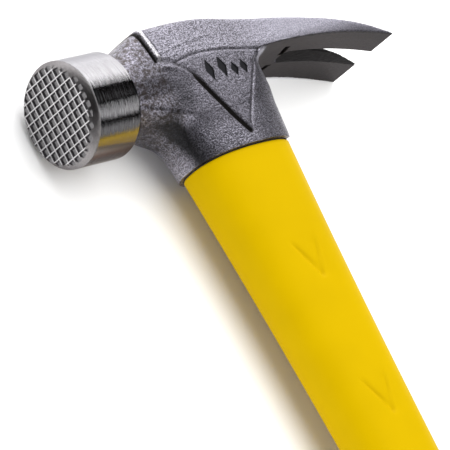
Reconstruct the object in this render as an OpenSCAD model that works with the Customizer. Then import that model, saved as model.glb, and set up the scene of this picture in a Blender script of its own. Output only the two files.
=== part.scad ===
// Claw hammer lying on its side: forged head with a milled striking face and
// a straight rip claw, fibreglass core, moulded jacket and rubber grip.
// +X points from the striking face to the claw tips, +Y from the butt to the
// head, +Z up from the surface that the hammer lies on.

/* [Hammer] */
// Overall length from the butt to the top of the head
overall_length = 406; // [395:1:420]

/* [Poll and striking face] */
// Radius of the round poll
poll_r = 18.5; // [18:0.5:19.5]
// Distance from the handle's centre line to the striking face
face_reach = 64.7; // [62:0.1:68]
// Depth of the bevel round the striking face
face_bevel = 2.6; // [1:0.1:3]
// Pitch of the milled squares
mill_pitch = 3.2; // [2.4:0.1:4]
// Width of the ridges between the milled squares
mill_ridge = 0.7; // [0.5:0.1:1.2]
// Depth of the milled squares
mill_depth = 0.9; // [0.4:0.1:1.2]

/* [Claw] */
// Distance from the handle's centre line to the claw tips
claw_reach = 80.3; // [76:0.1:84]
// Half the claw's width at its tips
claw_tip_half = 18.5; // [17:0.1:19]
// Where the nail slot begins, from the handle's centre line
slot_start = 43; // [40:0.5:46]
// Half the nail slot's width at the claw tips, on the outer face
slot_half = 3.4; // [3:0.1:4]
// Half the width of the bevelled part of the slot, on the inner face
slot_bevel_half = 5; // [4.5:0.1:6]

/* [Socket and eye] */
// Half the socket's length at its rim
socket_a = 22.3; // [21.8:0.1:24]
// Half the socket's width at its rim
socket_b = 16.2; // [15.6:0.1:17]
// How far the socket's rim lies below the poll's axis
socket_drop = 30.4; // [28:0.1:33]
// Half the eye's length, below its waist
eye_a = 19; // [17.6:0.1:19.2]
// Half the eye's width, below its waist
eye_b = 12.4; // [11.4:0.1:12.6]
// Half the eye's length, above its waist
eye_top_a = 18; // [15:0.1:18.4]
// Half the eye's width, above its waist
eye_top_b = 8.2; // [8:0.1:8.6]

/* [Handle] */
// Half the fibreglass core's length
core_a = 12; // [11:0.1:13]
// Half the fibreglass core's width
core_b = 7.4; // [6.6:0.1:7.7]
// Half the jacket's length at the head
jacket_a = 21.2; // [20:0.1:22]
// Half the jacket's width at the head
jacket_b = 14.8; // [14:0.1:15.4]
// Length of the rubber grip
grip_length = 180; // [160:5:195]
// Wall of the rubber grip at its upper end
grip_wall = 2.6; // [2:0.1:4]
// Radius of the hanging hole in the grip's butt
hang_hole_r = 4; // [3:0.5:5]

/* [Hidden] */

$fn = 96;
steel = [0.42, 0.41, 0.42];
resin = [0.55, 0.42, 0.22];
black = [0.05, 0.05, 0.05];
glass_rod = [0.85, 0.78, 0.5];
yellow = [0.95, 0.8, 0.02];

// heights are from the poll's axis, and places along it from the handle's line
head_top = 21;
butt_y = head_top - overall_length;
rim_y = -socket_drop;
seam = 0.4;
jacket_top_y = rim_y - seam;
grip_top_y = butt_y + grip_length;

// poll and milled face
bevel_end_x = -face_reach + face_bevel;
poll_back_x = -42.7;
poll_round = 1.2;
bevel_r = poll_r - 2.2;
mill_r = bevel_r - 0.2;
mill_shift = -0.2;

// cheeks and claw: the cheeks lean in above their crease and out below it
cheek_front_x = -26;
cheek_half = 14;
cheek_lean = 3.4;
facet_lean = 13;
facet_round = 1.4;
crease_y = 5.4;
rib_x = -23.3;
rib_half = 0.9;
claw_tip_y = -4.5;
claw_tip_wall = 0.6;
crown = 0.4;
rib_height = head_top - crown - lookup(rib_x + rib_half, top_line());
claw_root = [34, 3.2];
claw_steps = 24;
panel_depth = 0.4;
groove_depth = 1.2;
groove_width = 1.4;
slot_half_at_start = 1;
slot_bevel_lead = 2;
slot_bevel_end_half = 2.5;
slot_bevel_root_half = 4.2;
root_groove = [1.5, 2, 5];
root_groove_place = [39, 2.6, 6.8];
root_groove_turn = 12;

// column that the eye runs through
column_y = -10;
column_a = socket_a + 4.1;
column_b = 16.4;
column_top_y = 4;
waist_y = 2;
flare_y = 15;
eye_flare = 0.4;

// what fills the eye
seal_height = 7;
seal_inset = 0.3;
epoxy_top_y = head_top - 2.4;
core_top_y = head_top - 1.2;

// handle
lean = 2.3;
axis_shift = 0.6;
slim_a = 12.6;
slim_ratio = 0.78;
inner_jacket = [14, 10.6];
jacket_end_y = butt_y + 27;
core_end_y = jacket_end_y + 4;
hang_y = butt_y + 14;
hang_dish_r = 8;
hang_dish_half = 15.5;

// small clearances, cuts that run past a face, and how fine the skins are
clear = 0.02;
cut = 0.5;
past = 40;
ring_points = 56;
head_points = 40;
oval_power = 2.4;

// A point on the cubic curve through a and d with handles b and c
function curve_point(a, b, c, d, t) =
    a * pow(1 - t, 3) + 3 * b * t * pow(1 - t, 2) + 3 * c * t * t * (1 - t) + d * pow(t, 3);

// Points along that curve, without its first one
function curve(a, b, c, d, steps = 10) =
    [for (i = [1:steps]) curve_point(a, b, c, d, i / steps)];

// An oval between an ellipse and a rounded rectangle
function oval(a, b, power = oval_power, count = ring_points) =
    [for (i = [0:count - 1])
        let (c = cos(360 * i / count), s = sin(360 * i / count))
        [a * sign(c) * pow(abs(c), 2 / power), b * sign(s) * pow(abs(s), 2 / power)]];

// The faces that join rings of points into one closed skin
function skin_faces(rings, count) = concat(
    [for (r = [0:rings - 2], i = [0:count - 1])
        let (j = (i + 1) % count)
        each [[r * count + j, r * count + i, (r + 1) * count + j],
              [(r + 1) * count + j, r * count + i, (r + 1) * count + i]]],
    [[for (i = [0:count - 1]) i]],
    [[for (i = [0:count - 1]) rings * count - 1 - i]]);

// A skin through ovals across the handle, each [y, centre x, half length, half width]
module handle_skin(stations) {
    points = [for (s = stations, p = oval(s[2], s[3])) [s[1] + p[0], s[0], p[1]]];
    polyhedron(points, skin_faces(len(stations), ring_points));
}

// A skin through ovals across the head, each [x, centre y, half height, half width]
module head_skin(stations, power) {
    points = [for (s = stations, p = oval(s[2], s[3], power, head_points)) [s[0], s[1] + p[0], p[1]]];
    polyhedron(points, skin_faces(len(stations), head_points));
}

// The handle's centre line, which leans a little towards the claw
function axis_x(y) = (rim_y - y) * tan(lean) + axis_shift;

// Half the jacket's length and width, which shrink quickly below the head
function jacket_half_a(y) = slim_a + (jacket_a - slim_a) * exp((y - rim_y) / 110);
function jacket_half_b(y) =
    jacket_half_a(y) * (slim_ratio + (jacket_b / jacket_a - slim_ratio) * exp((y - rim_y) / 60));

// An oval tube or rod along the handle, of one size
module straight_oval(a, b, low, high) {
    translate([0, high, 0]) rotate([90, 0, 0]) linear_extrude(high - low) polygon(oval(a, b));
}

// The same rod along the handle's own leaning line
module leaning_oval(a, b, low, high) {
    translate([axis_x(rim_y), rim_y, 0])
        rotate([0, 0, lean])
        straight_oval(a, b, low - rim_y, high - rim_y);
}

// A blank with this outline in plan, seen from above the head
module from_above() {
    rotate([90, 0, 0]) linear_extrude(2 * past, center = true) children();
}

// A blank with this outline in the side view
module from_side() {
    linear_extrude(2 * past, center = true) children();
}

// Points with their copies across the plane through the handle and the poll
function with_mirror(points) = concat(points,
    [for (i = [len(points) - 1:-1:0]) if (points[i][1] != 0) [points[i][0], -points[i][1]]]);

// ---- head ----

// Lines along the cheeks and the claw, in the side view
function top_line() = concat(
    [[cheek_front_x, 19.6]],
    curve([cheek_front_x, 19.6], [-20, 20.6], [-12, 20.8], [-6, 20.5], 6),
    curve([-6, 20.5], [0, 20.4], [6, 20], [12, 18.6], 6),
    curve([12, 18.6], [20, 16.7], [28, 15.2], [35, 13.8], 6),
    curve([35, 13.8], [48, 10.6], [64, 6.2], [claw_reach, claw_tip_y], 12));

function under_line() =
    let (tip = [claw_reach, claw_tip_y - claw_tip_wall])
    concat(
        [[cheek_front_x, -6], [22, -8]],
        curve([22, -8], [23.5, 2], [28, 3.4], claw_root, 10),
        curve(claw_root, [48, 2.6], [62, 1.2], tip, 12));

function crease_line() =
    let (tip = [claw_reach, claw_tip_y - claw_tip_wall / 2])
    concat(
        [[cheek_front_x, crease_y], [0, crease_y + 0.4], [20, 3.4], [claw_root[0], claw_root[1] + 0.2]],
        curve([claw_root[0], claw_root[1] + 0.2], [48, 2.9], [62, 1.5], tip, 12));

// Half the width at the crease, in plan
function width_line() = concat(
    [[cheek_front_x, cheek_half], [16, cheek_half + 0.2]],
    curve([16, cheek_half + 0.2], [34, 14.6], [54, 17.4], [claw_reach, claw_tip_half], 10));

// The section through the cheeks or the claw at x, with the top edges taken off, `grown` larger
function blade_ring(x, grown = 0) =
    let (
        top = lookup(x, top_line()),
        low = lookup(x, under_line()),
        crease = lookup(x, crease_line()),
        half = lookup(x, width_line()) + grown,
        edge = min(facet_round, (top - crease) / 2),
        middle = top + grown + min(crown, (top - low) / 4),
        slope = tan(facet_lean),
        side = [
            [top + grown, half - (top - crease) * slope - edge],
            [top + grown - edge, half - (top - crease - edge) * slope],
            [crease, half], [low, half]])
    [for (p = concat([[middle, 0]], with_mirror(side))) [x, p[0], p[1]]];

module blade_skin(places, grown = 0) {
    rings = [for (x = places) blade_ring(x, grown)];
    polyhedron([for (ring = rings) each ring], skin_faces(len(rings), len(rings[0])));
}

module cheeks_and_claw() {
    step = (claw_reach - cheek_front_x) / claw_steps;
    blade_skin([for (i = [0:claw_steps]) cheek_front_x + i * step]);
}

// Low bead over the front of the cheeks, above their crease
module rib() {
    intersection() {
        blade_skin([rib_x - rib_half, rib_x + rib_half], rib_height);
        translate([rib_x - past, crease_y + 1, -past]) cube(2 * past);
    }
}

module poll() {
    rotate([0, 90, 0]) rotate_extrude() polygon([
        [0, -face_reach], [bevel_r, -face_reach], [poll_r - 0.5, bevel_end_x - 0.4],
        [poll_r, bevel_end_x], [poll_r, poll_back_x - poll_round],
        [poll_r - poll_round, poll_back_x], [0, poll_back_x]]);
}

// Waisted neck that widens into the cheeks
module neck() {
    head_skin([
        [poll_back_x - 1, 0.5, 12.9, 12.6],
        [-40, 0.5, 12.7, 12.5],
        [-37, 1, 13.2, 12.7],
        [-33, 1.9, 14.1, 13],
        [-28, 3.5, 15.6, 13.4],
        [-22, 3.6, 15.8, 13.6],
        [-12, 3.6, 15.6, 13.6]], 2.4);
}

// A wedge with the cheeks' two flat sides below their crease
module cheek_wedge() {
    flat = [for (y = [rim_y - cut, crease_y]) [y, cheek_half + (crease_y - y) * tan(cheek_lean)]];
    rotate([90, 0, 90]) linear_extrude(2 * past, center = true) polygon(with_mirror(flat));
}

// Oval column that the handle enters: short at the rim, with flat cheeks above it
module column() {
    intersection() {
        cheek_wedge();
        handle_skin([
            [column_top_y, -1.5, column_a, column_b],
            [column_y, -0.7, column_a, column_b],
            [rim_y, 0.4, socket_a, socket_b]]);
    }
}

// Fillet between the neck and the column's front wall
module throat() {
    neck_bottom = [-34, -11.5];
    outline = concat(
        [[-14, 0], [-36, 0], neck_bottom],
        curve(neck_bottom, [-29, -12], [-26.5, -14.5], [-24.5, -21], 8),
        [[-14, -21]]);
    linear_extrude(17, center = true) polygon(outline);
}

// Eye through the head, grown or shrunk by an offset: wide below, narrow above
// its waist, and a little wider again where it opens on top
module eye_shape(offset_by, low, high) {
    straight_oval(eye_a + offset_by, eye_b + offset_by, low, waist_y);
    straight_oval(eye_top_a + offset_by, eye_top_b + offset_by, waist_y - cut, high);
    straight_oval(eye_top_a + eye_flare + offset_by, eye_top_b + eye_flare + offset_by,
        flare_y - offset_by, high);
}

module eye() {
    eye_shape(0, rim_y - cut, head_top + cut);
}

// Nail slot: a narrow vee right through and a wider one from the inner face
module nail_slot() {
    end_x = claw_reach + 1;
    bevel_x = slot_start - slot_bevel_lead;
    from_above() polygon(with_mirror([[slot_start, slot_half_at_start], [end_x, slot_half]]));
    intersection() {
        from_above() polygon(with_mirror([
            [bevel_x, slot_bevel_end_half], [bevel_x + 3, slot_bevel_root_half],
            [end_x, slot_bevel_half]]));
        from_side() polygon([
            [bevel_x, -10], [bevel_x, 3.6], [60, 2.2], [end_x, claw_tip_y], [end_x, -10]]);
    }
}

// Short grooves across the inner face, beside the root of the nail slot
module root_grooves() {
    for (side = [-1, 1])
        translate([root_groove_place[0], root_groove_place[1], side * root_groove_place[2]])
            rotate([0, side * root_groove_turn, 0])
            cube(root_groove, center = true);
}

// Cuts this deep into both flat cheeks, from an outline in the side view
module cut_cheeks(depth) {
    for (side = [0, 1])
        mirror([0, 0, side])
        translate([0, crease_y, cheek_half - depth])
        rotate([-cheek_lean, 0, 0])
        linear_extrude(5)
        translate([0, -crease_y])
        children();
}

// Three-cornered recess in each cheek, pointing towards the handle, with a deep front edge
module cheek_panels() {
    front_top = [-15.6, 2.6];
    front = concat([front_top], curve(front_top, [-11.5, -1], [-9, -10], [-1.5, -25], 8));
    behind = [for (i = [len(front) - 1:-1:0]) front[i] + [groove_width, 0]];
    cut_cheeks(panel_depth)
        polygon(concat(front, [[1, -25], [9.7, -9.7], [19.5, 2], [8, 4.4], [-5, 4.9]]));
    cut_cheeks(groove_depth) polygon(concat(front, behind));
}

// Square pockets milled into the striking face, kept inside its bevel
module mill_pockets() {
    reach = ceil(mill_r / mill_pitch);
    pocket = mill_pitch - mill_ridge;
    for (row = [-reach:reach], column = [-reach:reach]) {
        y = (row + mill_shift) * mill_pitch;
        z = column * mill_pitch;
        corner = norm([abs(y) + pocket / 2, abs(z) + pocket / 2]);
        if (corner < mill_r)
            translate([-face_reach - cut, y - pocket / 2, z - pocket / 2])
                cube([mill_depth + cut, pocket, pocket]);
    }
}

module head() {
    color(steel)
    difference() {
        union() {
            poll();
            neck();
            cheeks_and_claw();
            rib();
            column();
            throat();
        }
        eye();
        nail_slot();
        root_grooves();
        cheek_panels();
        mill_pockets();
    }
}

// ---- what holds the handle in the head ----

// Soft flanged ring that closes the eye from below while the epoxy cures
module eye_seal() {
    color(black)
    difference() {
        union() {
            straight_oval(jacket_a - seal_inset, jacket_b - seal_inset,
                jacket_top_y + clear, rim_y - clear);
            straight_oval(eye_a - clear, eye_b - clear, rim_y - 2 * clear, rim_y + seal_height);
        }
        core_rod(clear);
    }
}

// Cast epoxy between the core and the eye
module eye_epoxy() {
    color(resin)
    difference() {
        eye_shape(-clear, rim_y + seal_height + clear, epoxy_top_y);
        core_rod(clear);
    }
}

// ---- handle ----

// The core's rod, grown by a small clearance where another piece holds it
module core_rod(grow) {
    leaning_oval(core_a + grow, core_b + grow, core_end_y - grow, core_top_y + grow);
}

// Fibreglass rod from the top of the eye to just short of the butt
module handle_core() {
    color(glass_rod)
    core_rod(0);
}

// Jacket outline: visible above the grip, and slimmer inside it
module jacket_skin(grow) {
    rings = 14;
    low_y = grip_top_y - 6;
    upper = [for (i = [0:rings])
        let (y = jacket_top_y + (low_y - jacket_top_y) * i / rings)
        [y, axis_x(y), jacket_half_a(y) + grow, jacket_half_b(y) + grow]];
    lower = [for (y = [low_y - 4, jacket_end_y - grow])
        [y, axis_x(y), inner_jacket[0] + grow, inner_jacket[1] + grow]];
    handle_skin(concat(upper, lower));
}

// Moulded jacket round the core
module handle_jacket() {
    color(yellow)
    difference() {
        jacket_skin(0);
        core_rod(clear);
    }
}

// Rubber grip with a palm swell and a flared butt with a hanging hole
module grip_sleeve() {
    stations = [
        [0, jacket_half_a(grip_top_y) + grip_wall, jacket_half_b(grip_top_y) + grip_wall],
        [0.18, 17, 13.6], [0.36, 18.2, 14.8], [0.52, 19, 15.5], [0.66, 18.4, 15],
        [0.78, 17.4, 14.6], [0.86, 18.2, 15.4], [0.92, 20.6, 17.2], [0.96, 21.8, 18.3],
        [0.985, 21.6, 18.2], [1, 19.6, 16.4]];
    hang_x = axis_x(hang_y);
    color(black)
    difference() {
        handle_skin([for (s = stations)
            let (y = grip_top_y - s[0] * grip_length)
            [y, axis_x(y), s[1], s[2]]]);
        jacket_skin(clear);
        translate([hang_x, hang_y, -30]) cylinder(r = hang_hole_r, h = 60);
        for (side = [-1, 1])
            translate([hang_x, hang_y, side * (hang_dish_half + 5)])
                cylinder(r = hang_dish_r, h = 10, center = true);
    }
}

// ---- assembly, with the origin under the middle of the whole hammer ----

module placed() {
    middle_x = (claw_reach - face_reach) / 2;
    middle_y = (head_top + butt_y) / 2;
    translate([-middle_x, -middle_y, poll_r]) children();
}

placed() head();
placed() eye_epoxy();
placed() eye_seal();
placed() handle_core();
placed() handle_jacket();
placed() grip_sleeve();
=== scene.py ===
import math

import bmesh
import bpy
import numpy as np
from mathutils import Matrix, Vector


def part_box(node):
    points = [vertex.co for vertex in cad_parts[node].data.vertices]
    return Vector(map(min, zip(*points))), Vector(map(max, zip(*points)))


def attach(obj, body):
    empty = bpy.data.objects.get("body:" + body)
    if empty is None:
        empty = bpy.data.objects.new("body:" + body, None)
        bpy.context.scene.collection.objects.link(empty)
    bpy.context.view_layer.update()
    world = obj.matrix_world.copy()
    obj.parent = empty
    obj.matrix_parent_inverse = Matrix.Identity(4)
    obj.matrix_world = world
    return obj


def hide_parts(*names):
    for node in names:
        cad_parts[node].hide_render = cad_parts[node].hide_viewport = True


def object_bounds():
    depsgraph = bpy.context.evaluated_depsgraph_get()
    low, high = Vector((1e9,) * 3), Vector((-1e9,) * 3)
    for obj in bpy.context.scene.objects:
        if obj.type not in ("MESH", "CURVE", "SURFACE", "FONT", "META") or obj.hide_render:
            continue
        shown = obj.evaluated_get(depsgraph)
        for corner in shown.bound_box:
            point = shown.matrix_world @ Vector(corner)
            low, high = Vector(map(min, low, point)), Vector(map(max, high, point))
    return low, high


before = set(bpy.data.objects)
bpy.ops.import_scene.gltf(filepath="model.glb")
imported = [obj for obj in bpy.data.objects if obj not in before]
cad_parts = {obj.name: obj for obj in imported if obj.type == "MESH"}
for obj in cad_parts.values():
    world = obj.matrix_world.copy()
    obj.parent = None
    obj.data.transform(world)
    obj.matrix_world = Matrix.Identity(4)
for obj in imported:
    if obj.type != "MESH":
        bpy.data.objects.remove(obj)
cad_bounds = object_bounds()

# ---- the design frame ----
# Shapes are worked out in millimetres from the point where the poll's axis crosses the handle's line:
# x towards the claw tips, y towards the top of the head, z out of the cheek that faces up.

MM = 0.001
# how far the socket's rim lies below the poll's axis
SOCKET_DROP = 30.4
seal_low, seal_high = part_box("eye_seal")
head_low, head_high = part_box("head")
grip_low, grip_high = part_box("grip_sleeve")
ORIGIN = Vector((
    (seal_low.x + seal_high.x) / 2,
    head_low.y + SOCKET_DROP * MM,
    (head_low.z + head_high.z) / 2))
POLL_R = (head_high.z - head_low.z) / 2 / MM
FACE_X = (head_low.x - ORIGIN.x) / MM
TIP_X = (head_high.x - ORIGIN.x) / MM
TOP_Y = (head_high.y - ORIGIN.y) / MM
RIM_Y = -SOCKET_DROP
GRIP_TOP_Y = (grip_high.y - ORIGIN.y) / MM
BUTT_Y = (grip_low.y - ORIGIN.y) / MM
POLL_BACK_X = -42.7
# between an ellipse, at 2, and a rectangle: the socket, the eye, the jacket, the seal and the grip
OVAL_POWER = 2.4
FAR = 1e9


def to_row(points):
    """Points in the design frame, in millimetres, as points in the row frame, in metres."""
    return np.asarray(points, float) * MM + np.array(ORIGIN)


# ---- curves and fields ----

def bezier(points, samples=60):
    """Samples along a chain of cubic curves: a first point, then two handles and an end for each curve."""
    points = np.array(points, float)
    t = np.linspace(0, 1, samples)[:, None]
    stretches = []
    for i in range(0, len(points) - 3, 3):
        a, b, c, d = points[i:i + 4]
        stretches.append(a * (1 - t) ** 3 + 3 * b * t * (1 - t) ** 2 + 3 * c * t * t * (1 - t) + d * t ** 3)
    return np.concatenate(stretches)


def height_curve(points):
    """The chain as a height over its first coordinate, with its slope."""
    line = bezier(points)
    slope = np.gradient(line[:, 1], line[:, 0] + np.arange(len(line)) * 1e-9)
    return (lambda x: np.interp(x, line[:, 0], line[:, 1]),
            lambda x: np.interp(x, line[:, 0], slope))


def smooth_min(a, b, k):
    """The lesser of the two, rounded where they meet within k of each other."""
    h = np.clip(0.5 + 0.5 * (b - a) / k, 0, 1)
    return b + (a - b) * h - k * h * (1 - h)


def smooth_max(a, b, k):
    return -smooth_min(-a, -b, k)


def oval_field(u, v, a, b, power):
    """About the distance outside an oval between an ellipse and a rounded rectangle."""
    q = ((np.abs(u) / a) ** power + (np.abs(v) / b) ** power) ** (1 / power)
    return (q - 1) * np.minimum(a, b)


def path_distance(x, y, points):
    """The distance to an open line through the points."""
    best = np.full(np.broadcast(x, y).shape, FAR)
    for (ax, ay), (bx, by) in zip(points[:-1], points[1:]):
        dx, dy = bx - ax, by - ay
        t = np.clip(((x - ax) * dx + (y - ay) * dy) / (dx * dx + dy * dy), 0, 1)
        best = np.minimum(best, np.hypot(x - ax - t * dx, y - ay - t * dy))
    return best


def stroke(x, y, points, width):
    """One along a drawn line, easing to zero beside it."""
    return np.exp(-(path_distance(x, y, points) / width) ** 2)


def ease(value, low, high):
    """Zero up to the low value, one from the high value on."""
    return np.clip((value - low) / (high - low), 0, 1)


def soft_step(value):
    """Zero far below zero and one far above it."""
    return 1 / (1 + np.exp(-np.clip(value, -60, 60)))


# ---- from a field to a mesh ----

# how far to each side of a crossing the field is read for its slope, in millimetres
SLOPE_REACH = 0.02
# a direction that the slopes fix less than this keeps the middle of the crossings
LEAST_HOLD = 0.04
# how far a vertex may leave its cell, as a share of the cell
CELL_SLACK = 0.05


def contour(field, axes):
    """Vertices and quads of the field's zero surface, by dual contouring, so that crisp edges stay crisp.

    The three axes are rising lists of coordinates, closer together where the shape is finer."""
    count = np.array([len(a) for a in axes])
    value = np.empty(count, np.float32)
    for i, x in enumerate(axes[0]):
        value[i] = field(np.full((1, 1), x), axes[1][:, None], axes[2][None, :])
    solid = value < 0
    cell_shape = count - 1
    crossings, owners, quads = [], [], []
    for axis in range(3):
        near = [slice(None)] * 3
        far = [slice(None)] * 3
        near[axis] = slice(0, -1)
        far[axis] = slice(1, None)
        change = solid[tuple(near)] != solid[tuple(far)]
        index = np.argwhere(change)
        a = value[tuple(near)][change]
        b = value[tuple(far)][change]
        point = np.stack([axes[i][index[:, i]] for i in range(3)], 1)
        step = np.diff(axes[axis])[index[:, axis]]
        point[:, axis] += step * a / (a - b)
        around = []
        u, v = (axis + 1) % 3, (axis + 2) % 3
        for du, dv in ((-1, -1), (0, -1), (0, 0), (-1, 0)):
            cell = index.copy()
            cell[:, u] += du
            cell[:, v] += dv
            around.append(np.ravel_multi_index(np.clip(cell, 0, cell_shape - 1).T, cell_shape))
        around = np.stack(around, 1)
        quads.append(np.where((a < 0)[:, None], around, around[:, ::-1]))
        crossings.append(point)
        owners.append(around)
    crossings = np.concatenate(crossings)
    owners = np.concatenate(owners).ravel()
    quads = np.concatenate(quads)
    slopes = np.stack([
        field(*(crossings + SLOPE_REACH * e).T) - field(*(crossings - SLOPE_REACH * e).T)
        for e in np.eye(3)], 1)
    slopes /= np.linalg.norm(slopes, axis=1, keepdims=True) + 1e-12
    normals = np.repeat(slopes, 4, 0)
    crossings = np.repeat(crossings, 4, 0)
    used, owner = np.unique(owners, return_inverse=True)
    n = len(used)
    share = np.bincount(owner, minlength=n)[:, None]
    mass = np.stack([np.bincount(owner, crossings[:, i], n) for i in range(3)], 1) / share
    offset = np.einsum("ij,ij->i", normals, crossings - mass[owner])
    ata = np.empty((n, 3, 3))
    atb = np.empty((n, 3))
    for i in range(3):
        atb[:, i] = np.bincount(owner, normals[:, i] * offset, n)
        for j in range(3):
            ata[:, i, j] = np.bincount(owner, normals[:, i] * normals[:, j], n)
    ata /= share[:, :, None]
    atb /= share
    size, basis = np.linalg.eigh(ata)
    inverse = np.where(size > LEAST_HOLD, 1 / np.maximum(size, 1e-9), 0)
    along = np.einsum("nij,ni->nj", basis, atb) * inverse
    vertex = mass + np.einsum("nij,nj->ni", basis, along)
    corner = np.stack(np.unravel_index(used, cell_shape), 1)
    for i in range(3):
        low, high = axes[i][corner[:, i]], axes[i][corner[:, i] + 1]
        slack = CELL_SLACK * (high - low)
        vertex[:, i] = np.clip(vertex[:, i], low - slack, high + slack)
    return vertex, np.searchsorted(used, quads)


def even_axis(low, high, step):
    """Equal steps, none longer than the one asked for."""
    return np.linspace(low, high, int(math.ceil((high - low) / step)) + 1)


def graded_axis(*stretches):
    """An axis from stretches of (low, high, step) that follow each other."""
    return np.concatenate([even_axis(*s)[:-1] for s in stretches] + [[stretches[-1][1]]])


def make_object(name, vertex, faces):
    """A mesh object from design-frame points."""
    mesh = bpy.data.meshes.new(name)
    place = np.clip(to_row(vertex), cad_bounds[0], cad_bounds[1])
    mesh.from_pydata(place.tolist(), [], [list(map(int, f)) for f in faces])
    mesh.update()
    piece = bpy.data.objects.new(name, mesh)
    bpy.context.scene.collection.objects.link(piece)
    mesh.polygons.foreach_set("use_smooth", [True] * len(mesh.polygons))
    return piece


def crisp(piece, degrees):
    """Marks edges sharper than the angle, so that shading breaks there."""
    bm = bmesh.new()
    bm.from_mesh(piece.data)
    limit = math.radians(degrees)
    for edge in bm.edges:
        edge.smooth = len(edge.link_faces) != 2 or edge.calc_face_angle(0) < limit
    bm.to_mesh(piece.data)
    bm.free()


def set_mask(piece, name, values):
    """A number for each vertex, which the materials read by name."""
    layer = piece.data.attributes.new(name, "FLOAT", "POINT")
    layer.data.foreach_set("value", np.asarray(values, np.float32))


# ---- the forged head ----

TOP, TOP_SLOPE = height_curve([
    (-30, 20), (-26, 20), (-24, 20), (-20, 20.1), (-15, 20.3), (-11, 20.6), (-6, 20.5),
    (0, 20.4), (6, 20), (12, 18.6), (20, 16.7), (28, 15.2), (35, 13.8),
    (48, 10.6), (64, 6.2), (TIP_X + 0.5, -4.7)])
UNDER, UNDER_SLOPE = height_curve([
    (8, 1), (18, 3), (26, 3.4), (34, 3.2), (48, 2.6), (62, 1.1), (TIP_X + 0.5, -5.1)])
CREASE, _ = height_curve([
    (-48, 4.6), (-36, 5.2), (-26, 5.4), (-14, 5.5), (-4, 6.2), (6, 5.6), (16, 3.6), (22, 3),
    (30, 3.4), (44, 2.9), (60, 1.5), (TIP_X + 0.5, -4.9)])
HALF_WIDTH, _ = height_curve([
    (-48, 14), (-26, 14), (-20, 14), (-12, 14), (0, 14), (8, 14.1), (16, 14.2),
    (34, 14.6), (54, 17.4), (TIP_X + 0.5, POLL_R)])
NECK_TOP, _ = height_curve([
    (-50, 13.6), (-45, 13.3), (-41, 13.2), (-37, 14.3), (-33, 15.6), (-30, 18.8), (-25, 19.6),
    (-20, 19.6), (-10, 19.3), (0, 19)])
CROWN = 0.45
FACET_LEAN = math.radians(13)
CHEEK_LEAN = 0.06
NECK_LOW_Y = -12.2
NECK_HALF_WIDTH = 12.5
NECK_FRONT_X = -45.5
NECK_REAR_X = -8
SOCKET_HALF_LENGTH = 22.3
SOCKET_HALF_WIDTH = 16.2
CLAW_FRONT_X = 8
SLOT_X = 43
EYE_HALF_LENGTH = 18
EYE_HALF_WIDTH = 8.2
# the bead across the head
RIB_X = -23.3
# the drawn lines of the cheek panel, of the lip above it and of the edge where the neck ends
PANEL_FRONT = [(-24.6, 6.4), (-20, 5.4), (-16.4, 2.9), (-12.8, -0.6), (-10.9, -5), (-7.6, -13),
               (-4.2, -20), (-1.3, -25.8)]
PANEL_TOP = [(-17.4, 4.4), (-10, 5.8), (-4.3, 6.1), (2, 5.8), (7.1, 5.2), (14, 3.9), (20.6, 2.6)]
PANEL_REAR = [(20.6, 2.6), (16.4, -1.6), (12.2, -6.6), (7.6, -13), (3, -19.5), (0.4, -23.6)]
LIP_LINE = [(-22, 9.2), (-14, 10.6), (-6, 11.8), (3, 12.5)]
NECK_LINE = [(-25.2, 3.7), (-21, 3.2), (-16.5, 1.4), (-13.5, -1.4)]


def neck_field(x, y, z):
    """Waisted neck, round at the poll and squarer where it meets the cheeks."""
    run = np.clip((x + 42) / 16, 0, 1)
    top = NECK_TOP(x)
    width = NECK_HALF_WIDTH + 1.7 * run
    body = oval_field(y - (top + NECK_LOW_Y) / 2, z, (top - NECK_LOW_Y) / 2, width, 2.1 + 2.4 * run ** 2)
    body = smooth_max(body, side_plane(x, y, z) + 0.25, 2.5)
    return np.maximum(body, np.maximum(NECK_FRONT_X - x, x - NECK_REAR_X))


def side_plane(x, y, z):
    """The cheeks' and the claw's sides above the crease, which lean in."""
    return (z - HALF_WIDTH(x)) * math.cos(FACET_LEAN) + (y - CREASE(x)) * math.sin(FACET_LEAN)


def cap_field(x, y, z):
    """The crowned top, and the sides that lean in above the crease."""
    short_of_tips = ease(-x, -60, -30)
    crown = CROWN * (1 - np.minimum(z / 11, 1) ** 2) * short_of_tips
    top = (y - TOP(x) - crown) / np.sqrt(1 + TOP_SLOPE(x) ** 2)
    return smooth_max(top, side_plane(x, y, z), 0.6 + 1.4 * short_of_tips)


def wall_field(x, y, z):
    """The flat cheeks, a little wider towards the socket's rim."""
    lean = CHEEK_LEAN * np.clip(CREASE(x) - y, 0, 40) * np.clip((26 - x) / 6, 0, 1)
    front = np.maximum(-12 - 0.35 * (y + 6) - x, 0) * ease(-y, -3, 5)
    return z - HALF_WIDTH(x) - lean + 0.16 * front


def column_field(x, y, z):
    """The socket and the cheeks: one oval column that widens upwards."""
    rise = y - RIM_Y
    a = SOCKET_HALF_LENGTH + 0.2 * np.minimum(rise, 20.4)
    b = (SOCKET_HALF_WIDTH - 0.067 * rise + 0.18 * np.maximum(y + 16, 0)
         + 0.1 * np.maximum(y + 2, 0) ** 2)
    body = oval_field(x - 0.4 + 0.055 * rise, z, a, b, OVAL_POWER)
    front = RIB_X - 1.8 - 4 * np.clip((4 - y) / 5, 0, 1) - x
    return smooth_max(body, front, 1.2)


def claw_under_field(x, y):
    """Below zero above the claw's underside."""
    return (UNDER(x) - y) / np.sqrt(1 + UNDER_SLOPE(x) ** 2)


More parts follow.
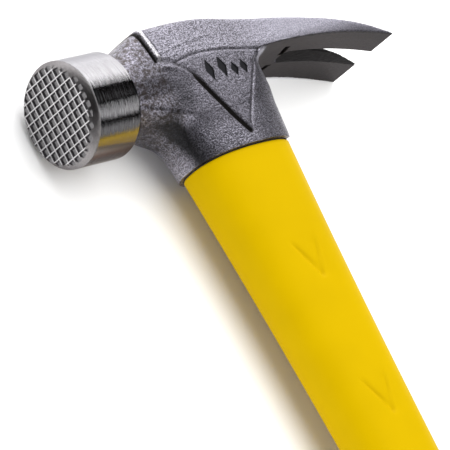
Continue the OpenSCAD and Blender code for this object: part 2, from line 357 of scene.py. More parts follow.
def slot_field(x, y, z):
    """The nail slot: a narrow vee, wider below where its edges are bevelled."""
    reach = np.clip((x - SLOT_X) / (TIP_X - SLOT_X), -0.2, 1.2)
    narrow = np.maximum(np.abs(z) - (1.0 + 2.4 * reach), SLOT_X - x)
    depth = y - UNDER(x)
    bevel = (np.abs(z) - (4.3 + 0.9 * reach)) * 0.62 + depth * 0.78 * 0.62
    end = 44.5 - np.sqrt(np.maximum(0, 1 - (np.minimum(np.abs(z), 4.6) / 4.7) ** 2)) * 3 - x
    relief = np.maximum(bevel, end + depth * 0.8)
    return np.minimum(narrow, relief)


def head_field(x, y, z):
    """The plain forging, before anything is pressed, cut or ground into it."""
    claw = np.maximum(claw_under_field(x, y), np.maximum(x - TIP_X, CLAW_FRONT_X - x))
    core = smooth_min(column_field(x, y, z), claw, 5)
    core = np.maximum(core, cap_field(x, y, z))
    blend = 1.6 + 7.4 * np.clip((1 - y) / 8, 0, 1)
    solid = smooth_min(core, neck_field(x, y, z), blend)
    solid = smooth_max(solid, wall_field(x, y, z), 0.5)
    return np.maximum(solid, np.maximum(RIM_Y - y, x - TIP_X))


def crease_depth(x, y):
    """How deep the creases in the cheeks are: one deep groove down the front edge, the others fine."""
    depth = (0.35 + 0.95 * ease(-y, -1, 5)) * stroke(x, y, PANEL_FRONT, 0.95)
    depth += 0.3 * stroke(x, y, PANEL_TOP, 0.45)
    depth += 0.32 * stroke(x, y, PANEL_REAR, 0.5)
    depth -= 0.22 * stroke(x, y, NECK_LINE, 0.8) + 0.14 * stroke(x, y, LIP_LINE, 0.5)
    return depth


def rib_fade(y):
    """The bead ends where the cheeks begin."""
    return ease(y, 5.5, 8)


def rib_grooves(x):
    """How deep the grooves beside the bead are: the one towards the poll is deeper."""
    across = x - RIB_X
    return 0.8 * np.exp(-((across + 1.75) / 0.6) ** 2) + 0.4 * np.exp(-((across - 1.5) / 0.45) ** 2)


# each lozenge: its centre, then half its length and half its height
STAMPS = [(-5.0, -1.0, 1.8, 4.2), (1.0, -0.8, 1.8, 4.2), (5.9, -2.6, 1.6, 2.7), (10.3, -2.4, 1.6, 2.7)]
STAMP_DEPTH = 0.35
SLIT_X = 40.5
SLIT_SPACING = 7
SLIT_HALF_WIDTH = 0.9
SLIT_HALF_LENGTH = 3
SLIT_DEPTH = 1.2
# the pair sits a little towards the lower cheek
SLIT_SHIFT = 1.7


def slit_field(x, z):
    """The two short grooves across the claw's root, one on each side of the slot."""
    beside = np.abs(z + SLIT_SHIFT) - SLIT_SPACING
    across = np.abs((x - SLIT_X) * 0.97 + beside * 0.2) - SLIT_HALF_WIDTH
    return np.maximum(across, np.abs(beside) - SLIT_HALF_LENGTH)


def stamp_level(x, y):
    """The distance outside the row of stamped lozenges."""
    best = np.full(np.broadcast(x, y).shape, FAR)
    for centre_x, centre_y, half_x, half_y in STAMPS:
        reach = np.abs(x - centre_x) / half_x + np.abs(y - centre_y) / half_y - 1
        best = np.minimum(best, reach * half_x)
    return best


def shaped_head_field(x, y, z):
    """The whole forging, with everything that is pressed, cut or ground into it."""
    side = z
    z = np.abs(z)
    solid = head_field(x, y, z)
    on_side = ease(z, 8, 10)
    solid = solid + crease_depth(x, y) * on_side
    # the bead across the head, between two grooves
    across = x - RIB_X
    fade = rib_fade(y)
    bead = 0.4 * soft_step((0.9 - np.abs(across)) / 0.14)
    solid = solid - (bead * ease(TOP_Y - y, 0.4, 1.4) - rib_grooves(x)) * fade
    # the stamped lozenges, on the cheek that faces up only
    stamp = np.maximum(stamp_level(x, y), HALF_WIDTH(x) + CHEEK_LEAN * 5 - STAMP_DEPTH - side)
    solid = np.maximum(solid, -stamp)
    # the eye: wide below its waist, narrow above, and eased where it opens on top
    flare = 0.4 * ease(y, 15, 20)
    lower_part = ease(-y, -5, -2)
    eye = oval_field(x, z, EYE_HALF_LENGTH + lower_part + flare,
                     EYE_HALF_WIDTH + 4.2 * lower_part + flare, OVAL_POWER)
    solid = np.maximum(solid, -eye)
    # the claw's slot and the two short grooves at its root
    solid = np.maximum(solid, -slot_field(x, y, z))
    slit = np.maximum(slit_field(x, side), y - UNDER(x) - SLIT_DEPTH)
    return np.maximum(solid, -slit)


def make_head():
    axes = (
        graded_axis((-46.5, -28, 0.55), (-28, -20, 0.32), (-20, 16, 0.46), (16, TIP_X + 0.8, 0.62)),
        graded_axis((RIM_Y - 0.8, RIM_Y + 1, 0.3), (RIM_Y + 1, TOP_Y + 0.8, 0.46)),
        even_axis(-POLL_R - 0.7, POLL_R + 0.7, 0.56))
    vertex, faces = contour(shaped_head_field, axes)
    piece = make_object("forging", vertex, faces)
    crisp(piece, 38)
    mask_head(piece, *vertex.T)
    return piece


def mask_head(piece, x, y, z):
    """Where the forging is ground, even, sooty or has paint in its stamps, and where light and shade are
    painted on: a highlight on the bead's crest, shade in creases, grooves and slits, and shade in hollows
    and under the neck.
    """
    # the claw's ground underside and slot, which the material also darkens as painted shade
    under = ease(-np.abs(claw_under_field(x, y)), -0.5, -0.15) * (x > 20)
    slot = ease(-np.abs(slot_field(x, y, z)), -0.4, -0.15) * ease(x, 42.5, 44)
    set_mask(piece, "ground", np.maximum(under, slot))
    on_side = ease(np.abs(z), 8, 10)
    across = np.abs(x - RIB_X)
    crest = ease(-across, -1.1, -0.7) * rib_fade(y)
    neck = ease(-x, 22, 25) * ease(x, -46, -44)
    # painted highlight: a light line along the bead's crest
    set_mask(piece, "crest_highlight", crest)
    set_mask(piece, "even", ease(x, 14, 34))
    set_mask(piece, "neck", neck * (1 - crest))
    # painted shade, fitted by averages: darker in the hollow below the neck, where it stands for a darker
    # reflection, behind and before the cheek panel, low on the cheeks and under the neck
    rear_x, rear_y = np.array([PANEL_REAR[i] for i in (0, 2, -1)]).T
    behind = ease(x - np.interp(-y, -rear_y, rear_x), -0.5, 3) * ease(-y, 2, 6)
    before = np.exp(-((x + 20.5) / 4.5) ** 2 - ((y + 9) / 5.5) ** 2) * ease(z, 5, 9)
    flute = np.exp(-((z - 6.8) / 3.6) ** 2) * ease(-y, 12, 18) * ease(-x, 15, 18)
    cheek = ease(z, 12.5, 13.5) * ease(-y, -6, -5)
    under_neck = neck * ease(-y, 8, 12)
    set_mask(piece, "painted_shade", np.clip(
        flute + 0.25 * behind * (x < 30) + 0.6 * before + 0.18 * cheek + 0.6 * under_neck, 0, 1))
    # painted shade: darker by depth in the cheeks' creases, in the grooves beside the bead and in the two
    # short grooves
    in_slits = (slit_field(x, z) < 0.3) & (y < UNDER(x) + SLIT_DEPTH + 0.2)
    set_mask(piece, "crease_shade", np.clip(
        crease_depth(x, y) * on_side + rib_grooves(x) * rib_fade(y) + 2.0 * in_slits, 0, 1))
    set_mask(piece, "paint", ((stamp_level(x, y) < 0.1) & (z > 10)) * 1.0)


# ---- the poll and its milled face ----

MILL_PITCH = 3.2
MILL_RIDGE = 0.34
MILL_DEPTH = 0.9
MILL_PHASE = -0.2 * MILL_PITCH
BEVEL = 2.6
BEVEL_R = POLL_R - 2.2
POLL_ROUND = 1.2


def bevel_level(depth, r):
    """Zero on a straight bevel round the face, below zero inside it."""
    return r - BEVEL_R - depth * (POLL_R - BEVEL_R) / BEVEL


def face_field(x, y, z):
    """Front of the poll: milled squares, cut off all round by the bevel."""
    r = np.hypot(y, z)
    from_y = np.abs((y - MILL_PHASE + MILL_PITCH / 2) % MILL_PITCH - MILL_PITCH / 2)
    from_z = np.abs((z + MILL_PITCH / 2) % MILL_PITCH - MILL_PITCH / 2)
    inset = (MILL_PITCH - MILL_RIDGE) / 2 - np.maximum(from_y, from_z)
    pit = np.clip(inset * 1.9, 0, MILL_DEPTH + 0.12 * np.clip(inset, 0, 1.2))
    front = FACE_X + pit - x
    depth = x - FACE_X
    bevel = bevel_level(depth, r) - 0.16 * np.sin(math.pi * np.clip(depth / BEVEL, 0, 1))
    return np.maximum(np.maximum(front, bevel * 0.76), np.maximum(r - POLL_R, depth - BEVEL - 0.6))


def make_face():
    across = even_axis(-POLL_R - 0.5, POLL_R + 0.5, 0.22)
    vertex, faces = contour(face_field, (even_axis(FACE_X - 0.4, FACE_X + BEVEL + 1, 0.2), across, across))
    piece = make_object("milled_face", vertex, faces)
    crisp(piece, 30)
    depth = vertex[:, 0] - FACE_X
    r = np.hypot(vertex[:, 1], vertex[:, 2])
    # ridge tops, and a third of that on the pit floors as a painted highlight in each pit
    set_mask(piece, "ridge_and_glint", np.clip(1 - depth / 0.16, 0, 1) + 0.3 * ease(depth, 0.8, 0.9))
    set_mask(piece, "bevel", np.clip((bevel_level(depth, r) + 0.12) * 9, 0, 1) * (r > BEVEL_R - 1.2))
    return piece


def lathe(name, profile, sides=192):
    """A ring of quads round the poll's axis for each stretch of an (x, r) profile."""
    turn = np.linspace(0, 2 * math.pi, sides, endpoint=False)
    vertex = np.concatenate([
        np.stack([np.full(sides, x), r * np.cos(turn), r * np.sin(turn)], 1) for x, r in profile])
    faces = []
    for k in range(len(profile) - 1):
        for i in range(sides):
            j = (i + 1) % sides
            faces.append((k * sides + j, k * sides + i, (k + 1) * sides + i, (k + 1) * sides + j))
    return make_object(name, vertex, faces)


def make_poll():
    round_x, round_r = POLL_BACK_X - POLL_ROUND, POLL_R - POLL_ROUND
    back = [(round_x + POLL_ROUND * math.sin(t), round_r + POLL_ROUND * math.cos(t))
            for t in np.linspace(0, math.pi / 2, 7)]
    start = FACE_X + BEVEL + 0.02
    length = [(x, POLL_R) for x in np.linspace(start, round_x, 24)]
    profile = [(start, POLL_R - 2.5)] + length + back[1:] + [(POLL_BACK_X, 13)]
    piece = lathe("poll", profile)
    crisp(piece, 40)
    place = np.array([v.co for v in piece.data.vertices]) - np.array(ORIGIN)
    turn = np.degrees(np.arctan2(place[:, 2], place[:, 1])) % 360
    # painted reflection: the poll's underside, where it mirrors shade below it
    set_mask(piece, "underside_reflection", ease(turn, 141, 168) * ease(-turn, -330, -260))
    return piece


# ---- the handle ----

LEAN = math.radians(2.3)
SEAM = 0.4
JACKET_HALF_LENGTH = 12.6
JACKET_FLARE = 8.6
JACKET_RATIO = 0.78
JACKET_TOP_RATIO = 14.8 / 21.2


def axis_x(y):
    """The handle's line, which leans back towards the butt."""
    return (RIM_Y - y) * math.tan(LEAN) + 0.6


def jacket_size(y):
    """Half the jacket's length and width, which both flare towards the head."""
    a = JACKET_HALF_LENGTH + JACKET_FLARE * np.exp((y - RIM_Y) / 110)
    b = a * (JACKET_RATIO + (JACKET_TOP_RATIO - JACKET_RATIO) * np.exp((y - RIM_Y) / 60))
    return a, b


def loft(name, rings):
    """A closed skin through rings of the same number of design-frame points."""
    sides = len(rings[0])
    vertex = np.concatenate(rings)
    faces = []
    for k in range(len(rings) - 1):
        for i in range(sides):
            j = (i + 1) % sides
            faces.append((k * sides + i, (k + 1) * sides + i, (k + 1) * sides + j, k * sides + j))
    faces.append(list(range(sides)))
    faces.append([len(vertex) - 1 - i for i in range(sides)])
    return make_object(name, vertex, faces)


def oval_ring(y, centre, a, b, sides=224):
    turn = np.linspace(0, 2 * math.pi, sides, endpoint=False)
    c, s = np.cos(turn), np.sin(turn)
    x = centre + a * np.sign(c) * np.abs(c) ** (2 / OVAL_POWER)
    z = b * np.sign(s) * np.abs(s) ** (2 / OVAL_POWER)
    return np.stack([x, np.full(sides, float(y)), z], 1)


# each chevron: where it starts and ends along the handle, and its strength
CHEVRONS = [(-66.4, -81.5, 1.0), (-118, -133.3, 0.9)]
CHEVRON_DEPTH = 1.7


def chevron_depth(x, y):
    """How deep the two moulded chevrons are: a shallow dent with a sharper outer edge on the front side."""
    depth = np.zeros(np.shape(x))
    for top, tip, strength in CHEVRONS:
        run = np.clip((top - y) / (top - tip), 0, 1)
        inside_ends = np.clip((top - y) / 3, 0, 1) * np.clip((y - tip) / 1.5 + 0.5, 0, 1)
        left = -8.4 + 6.9 * run
        right = 3.4 - 4.7 * run
        from_left = x - left
        from_right = right - x
        front_edge = np.exp(-np.clip(from_left, 0, 9) / (0.9 + 0.5 * run)) * soft_step(from_left * 6)
        rear_edge = 0.7 * np.exp(-np.clip(from_right, 0, 9) / 1.3) * soft_step(from_right * 4)
        depth += strength * inside_ends * (front_edge + rear_edge) * (0.5 + 0.5 * np.sin(math.pi * run))
    return CHEVRON_DEPTH * depth


def make_jacket():
    top_y = RIM_Y - SEAM
    low_y = GRIP_TOP_Y - 5
    # the rounded top edge, as drops from the top and insets from the side
    edge = [(0.0, 3.0), (0.0, 0.5), (0.06, 0.3), (0.2, 0.12), (0.4, 0.03), (0.6, 0.0)]
    heights = [top_y - drop for drop, _ in edge]
    insets = [inset for _, inset in edge]
    run = np.arange(top_y - 1.5, low_y, -0.7)
    heights += list(run) + [low_y]
    insets += [0.0] * (len(run) + 1)
    rings = []
    for y, inset in zip(heights, insets):
        a, b = jacket_size(y)
        ring = oval_ring(y, axis_x(y), a - inset, b - inset)
        across = ring[:, 0] - axis_x(y)
        flat = np.clip((np.abs(ring[:, 2]) - 0.5 * b) / (0.2 * b), 0, 1)
        ring[:, 2] -= np.sign(ring[:, 2]) * chevron_depth(across, ring[:, 1]) * flat
        rings.append(ring)
    return loft("jacket", rings)


SEAL_HALF_LENGTH = 20.9
SEAL_HALF_WIDTH = 14.5


def make_seal():
    low = RIM_Y - SEAM
    rings = []
    for y, inset in ((RIM_Y, 6), (RIM_Y, 0.1), (RIM_Y - 0.1, 0), (low + 0.1, 0), (low, 0.1), (low, 6)):
        rings.append(oval_ring(y, axis_x(y), SEAL_HALF_LENGTH - inset, SEAL_HALF_WIDTH - inset, 160))
    return loft("seal", rings)


# the share of the grip from its top, and half its length and width there
GRIP_SHAPE = np.array([
    (0, 17.0, 13.8), (0.08, 17.2, 13.9), (0.18, 17.2, 13.8), (0.36, 18.2, 14.8), (0.52, 19, 15.5),
    (0.66, 18.4, 15), (0.78, 17.4, 14.6), (0.86, 18.2, 15.4), (0.92, 20.4, 17.2), (0.96, 21.8, 18.3),
    (1, 21.8, 18.3)])
GRIP_RIB_PITCH = 4.2
GRIP_RIB_DEPTH = 0.35
GRIP_BORE_CLEARANCE = 0.02
HANG_Y = BUTT_Y + 14
HANG_R = 4.0
HANG_DISH_R = 8
HANG_DISH_HALF = 15.5


def grip_size(share):
    """Half the grip's length and width along it, eased between the stations."""
    soft = np.linspace(0, 1, 401)
    kernel = np.hanning(25) / np.hanning(25).sum()
    sizes = []
    for column in (1, 2):
        sharp = np.interp(soft, GRIP_SHAPE[:, 0], GRIP_SHAPE[:, column])
        padded = np.pad(sharp, len(kernel) // 2, mode="edge")
        sizes.append(np.interp(share, soft, np.convolve(padded, kernel, "valid")))
    return sizes


def grip_field(x, y, z):
    share = (GRIP_TOP_Y - y) / (GRIP_TOP_Y - BUTT_Y)
    a, b = grip_size(np.clip(share, 0, 1))
    off = x - axis_x(y)
    body = oval_field(off, z, a, b, OVAL_POWER)
    # fine ribs under the palm on both wide faces, inside a shallow border
    ribs = GRIP_RIB_DEPTH * np.cos(2 * math.pi * (y - BUTT_Y) / GRIP_RIB_PITCH)
    ribbed = np.clip((share - 0.14) * 20, 0, 1) * np.clip((0.78 - share) * 20, 0, 1)
    beside = np.clip((10.5 - np.abs(off)) / 1.5, 0, 1)
    body = body + (GRIP_RIB_DEPTH - ribs) * ribbed * beside * 0.8
    border = np.exp(-((np.abs(off) - 11.6) / 0.5) ** 2) * ribbed
    body = body + 0.4 * border
    body = smooth_max(body, BUTT_Y - y, 5)
    body = smooth_max(body, y - GRIP_TOP_Y, 1.2)
    # the groove round the top, and the hanging hole in its dish
    ring = np.exp(-((y - GRIP_TOP_Y + 7) / 0.8) ** 2)
    body = body + 0.6 * ring
    hang = np.hypot(off - (axis_x(HANG_Y) - axis_x(y)), y - HANG_Y)
    dish = np.maximum(hang - HANG_DISH_R, HANG_DISH_HALF - np.abs(z))
    body = smooth_max(body, -dish, 0.8)
    hole = HANG_R - hang + 0.5 * np.clip(np.abs(z) - 15.0, 0, 1)
    body = np.maximum(body, hole)
    jacket_a, jacket_b = jacket_size(y)
    bore = oval_field(off, z, jacket_a + GRIP_BORE_CLEARANCE, jacket_b + GRIP_BORE_CLEARANCE, OVAL_POWER)
    return np.maximum(body, -np.maximum(bore, GRIP_TOP_Y - 4 - y))


def make_grip():
    axes = (
        even_axis(axis_x(GRIP_TOP_Y) - 20, axis_x(BUTT_Y) + 24, 0.66),
        even_axis(BUTT_Y - 0.8, GRIP_TOP_Y + 0.8, 0.6),
        even_axis(-19, 19, 0.66))
    vertex, faces = contour(grip_field, axes)
    piece = make_object("grip", vertex, faces)
    crisp(piece, 45)
    return piece


# ---- materials ----

class Nodes:
    """A short way to write a material's node tree around its Principled shader."""

    def __init__(self, name):
        self.material = bpy.data.materials.new(name)
        self.material.use_nodes = True
        self.tree = self.material.node_tree
        self.shader = self.tree.nodes["Principled BSDF"]
        coordinates = self.tree.nodes.new("ShaderNodeTexCoord")
        self.place = coordinates.outputs["Object"]

    def node(self, kind, settings=None, **inputs):
        node = self.tree.nodes.new("ShaderNode" + kind)
        for key, value in (settings or {}).items():
            setattr(node, key, value)
        for key, value in inputs.items():
            self.connect(node.inputs[key], value)
        return node

    def connect(self, socket, value):
        if isinstance(value, bpy.types.NodeSocket):
            self.tree.links.new(socket, value)
        else:
            socket.default_value = value

    def set(self, **inputs):
        """Sets or links inputs of the Principled shader, with _ for a space."""
        for key, value in inputs.items():
            self.connect(self.shader.inputs[key.replace("_", " ")], value)

    def noise(self, size_mm, detail, rough, stretch=(1, 1, 1)):
        """Grain of about that size, drawn out along an axis whose stretch is below one."""
        place = self.node("Mapping", Vector=self.place, Scale=stretch).outputs[0]
        noise = self.node("TexNoise", Vector=place, Scale=1 / (size_mm * MM), Detail=detail, Roughness=rough)
        return noise.outputs["Fac"]

    def math(self, operation, a, b):
        node = self.node("Math", {"operation": operation})
        self.connect(node.inputs[0], a)
        self.connect(node.inputs[1], b)
        return node.outputs[0]

    def span(self, value, low, high, to_low=0.0, to_high=1.0):
        """The value, moved from one range to another and kept inside it."""
        node = self.node("MapRange")
        for key, item in (("Value", value), ("From Min", low), ("From Max", high), ("To Min", to_low),
                          ("To Max", to_high)):
            self.connect(node.inputs[key], item)
        return node.outputs[0]

    def mix(self, share, a, b):
        """A blend of two colours."""
        node = self.node("Mix", {"data_type": "RGBA"})
        self.connect(node.inputs[0], share)
        self.connect(node.inputs[6], a if isinstance(a, bpy.types.NodeSocket) else (*a, 1))
        self.connect(node.inputs[7], b if isinstance(b, bpy.types.NodeSocket) else (*b, 1))
        return node.outputs[2]

    def blend(self, share, a, b):
        """A blend of two numbers."""
        node = self.node("Mix", {"data_type": "FLOAT"})
        for i, value in ((0, share), (2, a), (3, b)):
            self.connect(node.inputs[i], value)
        return node.outputs[0]

    def mask(self, name):
        return self.node("Attribute", {"attribute_name": name}).outputs["Fac"]

    def bump(self, height, distance_mm, strength):
        return self.node("Bump", Height=height, Strength=strength, Distance=distance_mm * MM).outputs[0]


def forged_steel():
    m = Nodes("forged_steel")
    grain = m.noise(0.5, 3, 0.6)
    coarse = m.noise(1.6, 3, 0.6)
    cloud = m.noise(14, 3, 0.55)
    ground = m.mask("ground")
    crease_shade = m.mask("crease_shade")
    paint = m.mask("paint")
    bright = m.mix(m.span(grain, 0.41, 0.61), (0.09, 0.086, 0.1), (0.52, 0.5, 0.59))
    mottled = m.mix(m.span(cloud, 0.35, 0.7, 0.0, 0.35), bright, (0.19, 0.18, 0.21))
    lines = m.noise(0.25, 2, 0.6, (0.04, 1, 1))
    # painted shade: the ground underside and slot are made nearly black, standing for the shade that they
    # mirror; the fine lines are the grinding
    ground_shade_colour = m.mix(m.span(lines, 0.35, 0.65), (0.04, 0.038, 0.039), (0.064, 0.061, 0.062))
    even = m.math("MULTIPLY", m.mask("even"), 0.6)
    clean = m.mix(ground, m.mix(even, mottled, (0.36, 0.35, 0.41)), ground_shade_colour)
    # painted highlight: the bead's crest is mixed towards near white, broken by the grain
    highlighted = m.mix(m.math("MULTIPLY", m.mask("crest_highlight"), m.span(grain, 0.3, 0.55)), clean, (0.82, 0.8, 0.84))
    soot = m.math("MULTIPLY", m.mask("neck"), m.span(m.noise(1.3, 2, 0.6), 0.42, 0.62))
    sooty = m.mix(m.math("MULTIPLY", soot, 0.9), highlighted, (0.075, 0.062, 0.056))
    # painted shade: the mask of shaded areas takes the colour almost to black
    darker = m.mix(m.math("MULTIPLY", m.mask("painted_shade"), 0.95), sooty, (0.02, 0.02, 0.021))
    # painted shade in the creases and grooves
    crease_shaded = m.mix(m.span(crease_shade, 0.15, 0.6), darker, (0.03, 0.027, 0.026))
    m.set(Base_Color=m.mix(paint, crease_shaded, (0.012, 0.012, 0.014)))
    # painted shade in reflections: where the steel is ground or shaded, its edge tint is greyed, so that
    # grazing reflections are dimmer
    dimmed_reflection = m.math("MAXIMUM", ground, m.mask("painted_shade"))
    m.set(Specular_Tint=m.mix(dimmed_reflection, (1, 1, 1), (0.55, 0.53, 0.53)))
    m.set(Metallic=m.span(paint, 0, 1, 0.92, 0), Specular_IOR_Level=m.span(paint, 0, 1, 0.5, 0.1))
    rough = m.blend(ground, m.span(grain, 0.3, 0.7, 0.48, 0.3), 0.42)
    m.set(Roughness=m.blend(m.math("MAXIMUM", paint, m.span(crease_shade, 0.2, 0.8)), rough, 0.7))
    pits = m.math("ADD", m.math("MULTIPLY", grain, 0.7), m.math("MULTIPLY", coarse, 0.9))
    blasted = m.math("MULTIPLY", pits, m.math("SUBTRACT", 1.0, m.math("MAXIMUM", ground, even)))
    m.set(Normal=m.bump(m.math("ADD", blasted, m.math("MULTIPLY", lines, 0.05)), 0.32, 0.9))
    return m.material


def turned_steel():
    m = Nodes("turned_steel")
    rings = m.noise(0.12, 2, 0.7, (1, 0.01, 0.01))
    wide = m.noise(0.7, 2, 0.6, (1, 0.05, 0.05))
    stain = m.noise(6, 3, 0.6)
    bright = m.mix(m.span(rings, 0.3, 0.7), (0.40, 0.39, 0.405), (0.55, 0.54, 0.56))
    stained = m.mix(m.span(stain, 0.5, 0.8, 0, 0.3), bright, (0.40, 0.37, 0.36))
    # painted reflection on the poll's underside: a darker brown colour, a browner edge tint and less metal
    m.set(Base_Color=m.mix(m.math("MULTIPLY", m.mask("underside_reflection"), 0.85), stained, (0.06, 0.035, 0.024)))
    m.set(Specular_Tint=m.mix(m.mask("underside_reflection"), (0.55, 0.55, 0.57), (0.2, 0.13, 0.09)))
    m.set(Metallic=m.span(m.mask("underside_reflection"), 0, 1, 1, 0.7))
    m.set(Roughness=m.span(wide, 0.3, 0.7, 0.08, 0.14))
    m.set(Normal=m.bump(m.math("ADD", rings, m.math("MULTIPLY", wide, 2.5)), 0.03, 0.8))
    return m.material


def milled_steel():
    m = Nodes("milled_steel")
    ridge_and_glint = m.mask("ridge_and_glint")
    grain = m.noise(0.35, 3, 0.7)
    pit = m.mix(m.span(grain, 0.4, 0.6), (0.02, 0.018, 0.02), (0.08, 0.074, 0.08))
    ring = m.mix(m.span(grain, 0.35, 0.65), (0.2, 0.19, 0.19), (0.3, 0.285, 0.29))
    top = m.mix(m.span(grain, 0.3, 0.7), (0.42, 0.41, 0.42), (0.64, 0.63, 0.64))
    bevel = m.mask("bevel")
    bright = m.math("MAXIMUM", bevel, ridge_and_glint)
    # the ridge tops are lighter bare metal; the share on the pit floors is a painted highlight
    m.set(Base_Color=m.mix(bevel, m.mix(ridge_and_glint, pit, top), ring), Metallic=m.blend(bright, 0.4, 1.0))
    m.set(Specular_Tint=m.mix(bevel, (1, 1, 1), (0.5, 0.49, 0.5)))
    m.set(Roughness=m.blend(bright, 0.6, m.span(grain, 0.3, 0.7, 0.3, 0.4)))
    m.set(Normal=m.bump(grain, 0.12, 0.8))
    return m.material


def yellow_plastic():
    m = Nodes("yellow_plastic")
    cloud = m.noise(22, 2, 0.5)
    skin = m.noise(0.5, 2, 0.6)
    flow = m.noise(5, 2, 0.5, (1, 0.15, 1))
    m.set(Base_Color=m.mix(m.span(cloud, 0.35, 0.65), (0.465, 0.302, 0.0), (0.487, 0.317, 0.0)))
    m.set(Roughness=m.span(flow, 0.3, 0.7, 0.44, 0.52))
    m.set(Specular_IOR_Level=0.02)
    m.set(Normal=m.bump(m.math("ADD", skin, m.math("MULTIPLY", flow, 1.5)), 0.02, 0.4))
    return m.material


def black_rubber(name, size_mm):
    m = Nodes(name)
    grain = m.noise(size_mm, 3, 0.65)
    dust = m.noise(9, 3, 0.6)
    m.set(Base_Color=m.mix(m.span(dust, 0.45, 0.8), (0.012, 0.012, 0.013), (0.03, 0.03, 0.031)))
    m.set(Roughness=m.span(grain, 0.3, 0.7, 0.5, 0.68))
    m.set(Normal=m.bump(grain, 0.08, 0.5))
    return m.material


def cast_resin():
    m = Nodes("cast_resin")
    cloud = m.noise(3, 3, 0.6)
    m.set(Base_Color=m.mix(cloud, (0.09, 0.055, 0.015), (0.2, 0.13, 0.045)))
    m.set(Roughness=m.span(cloud, 0.3, 0.7, 0.16, 0.32), Coat_Weight=0.4)
    m.set(Normal=m.bump(cloud, 0.3, 0.4))
    return m.material


def glass_rod():
    m = Nodes("glass_rod")
    strands = m.noise(0.35, 2, 0.7, (1, 0.02, 1))
    cloud = m.noise(4, 3, 0.6)
    pale = m.mix(m.span(strands, 0.35, 0.65), (0.36, 0.28, 0.12), (0.5, 0.42, 0.23))
    m.set(Base_Color=m.mix(m.span(cloud, 0.4, 0.7, 0, 0.4), pale, (0.27, 0.19, 0.07)))
    m.set(Roughness=m.span(strands, 0.3, 0.7, 0.35, 0.6))
    m.set(Normal=m.bump(strands, 0.08, 0.6))
    return m.material


def pale_floor():
    m = Nodes("pale_floor")
    cloud = m.noise(400, 2, 0.5)
    m.set(Base_Color=m.mix(cloud, (0.93, 0.93, 0.93), (0.96, 0.96, 0.96)), Roughness=0.9)
    m.set(Specular_IOR_Level=0.1)
    return m.material


def dress(piece, material, slot, *nodes):
    """Gives a new piece its material and its body, and hides the CAD nodes that it stands for; the slot is
    not used.
    """
    piece.data.materials.clear()
    piece.data.materials.append(material)
    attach(piece, "root")
    if nodes:
        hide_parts(*nodes)


def recolour(node, material):
    """A better material for a CAD node that stays in view."""
    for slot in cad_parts[node].material_slots:
        slot.material = material


# ---- the scene ----

# the point that the camera looks at, in the design frame
AIM = Vector((-17.27, -51.45, 0))
CAMERA_DISTANCE = 1.3534
AZIMUTH = -162.66
ELEVATION = 45.13
ROLL = math.radians(-51.2)
LENS_MM = 320
SENSOR_MM = 36
FLOOR_HALF = 6
WORLD_STRENGTH = 0.34
# name, azimuth, elevation, distance, width, height, power, and whether the steel mirrors it
SOFT_BOXES = [
    ("overhead", 17, 76, 2.2, 3.2, 3.2, 68, False),
    ("side", 184, 3, 1.6, 1.4, 0.3, 17, False),
    ("top", 20, 80, 1.8, 1.2, 1.2, 1.4, True),
    ("upper", 76, 50, 1.6, 0.8, 0.8, 8.5, True),
    ("key", 42, 18, 1.6, 1.04, 1.4, 8, True),
    ("back", 86, 16, 1.6, 1.1, 1.2, 13, True),
    ("fill", -28, 37, 1.6, 0.75, 0.38, 0.75, True),
    ("front", -84, 30, 1.6, 0.7, 0.7, 8, True),
    ("low", -45, 12, 1.6, 0.6, 0.5, 0.3, True),
]


def direction(azimuth, elevation):
    """A unit vector, from angles in degrees."""
    a, e = math.radians(azimuth), math.radians(elevation)
    return Vector((math.cos(e) * math.cos(a), math.cos(e) * math.sin(a), math.sin(e)))


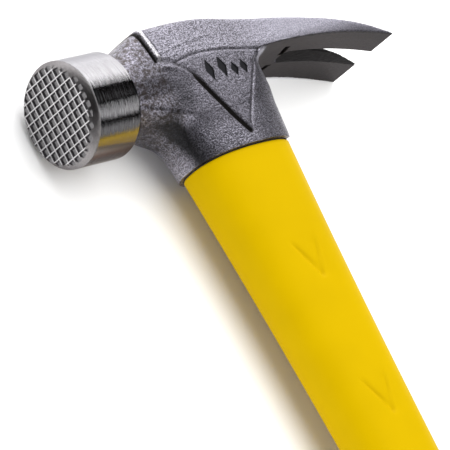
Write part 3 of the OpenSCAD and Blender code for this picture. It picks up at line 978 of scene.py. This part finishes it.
def make_camera():
    back = direction(AZIMUTH, ELEVATION)
    level = Vector((0, 0, 1)).cross(back).normalized()
    upright = back.cross(level)
    up = upright * math.cos(ROLL) + level * math.sin(ROLL)
    right = up.cross(back)
    lens = bpy.data.cameras.new("camera")
    lens.lens = LENS_MM
    lens.sensor_width = SENSOR_MM
    lens.clip_end = 20
    camera = bpy.data.objects.new("camera", lens)
    bpy.context.scene.collection.objects.link(camera)
    place = ORIGIN + AIM * MM + back * CAMERA_DISTANCE
    camera.matrix_world = Matrix((
        (right.x, up.x, back.x, place.x), (right.y, up.y, back.y, place.y),
        (right.z, up.z, back.z, place.z), (0, 0, 0, 1)))
    bpy.context.scene.camera = camera


def make_floor():
    mesh = bpy.data.meshes.new("floor")
    corners = [(FLOOR_HALF * x, FLOOR_HALF * y, 0) for x, y in ((-1, -1), (1, -1), (1, 1), (-1, 1))]
    mesh.from_pydata(corners, [], [(0, 1, 2, 3)])
    floor = bpy.data.objects.new("floor", mesh)
    bpy.context.scene.collection.objects.link(floor)
    mesh.materials.append(pale_floor())


def soft_box(name, azimuth, elevation, distance, width, height, power, in_reflections):
    lamp = bpy.data.lights.new(name, "AREA")
    lamp.shape = "RECTANGLE"
    lamp.size = width
    lamp.size_y = height
    lamp.energy = power
    holder = bpy.data.objects.new(name, lamp)
    bpy.context.scene.collection.objects.link(holder)
    back = direction(azimuth, elevation)
    holder.location = ORIGIN + back * distance
    holder.rotation_euler = back.to_track_quat("Z", "Y").to_euler()
    holder.visible_glossy = in_reflections


def make_world():
    world = bpy.data.worlds.new("studio")
    bpy.context.scene.world = world
    world.use_nodes = True
    background = world.node_tree.nodes["Background"]
    background.inputs["Color"].default_value = (1, 1, 1, 1)
    background.inputs["Strength"].default_value = WORLD_STRENGTH
    world.cycles_visibility.glossy = False


dress(make_head(), forged_steel(), "forged_steel", "head")
dress(make_poll(), turned_steel(), "forged_steel", "head")
dress(make_face(), milled_steel(), "forged_steel", "head")
dress(make_jacket(), yellow_plastic(), "yellow_jacket", "handle_jacket")
dress(make_seal(), black_rubber("seal_rubber", 0.3), "seal_rubber", "eye_seal")
dress(make_grip(), black_rubber("grip_rubber", 0.35), "grip_rubber", "grip_sleeve")
recolour("eye_epoxy", cast_resin())
recolour("handle_core", glass_rod())

make_camera()
make_floor()
make_world()
for box in SOFT_BOXES:
    soft_box(*box)
bpy.context.scene.view_settings.view_transform = "Standard"
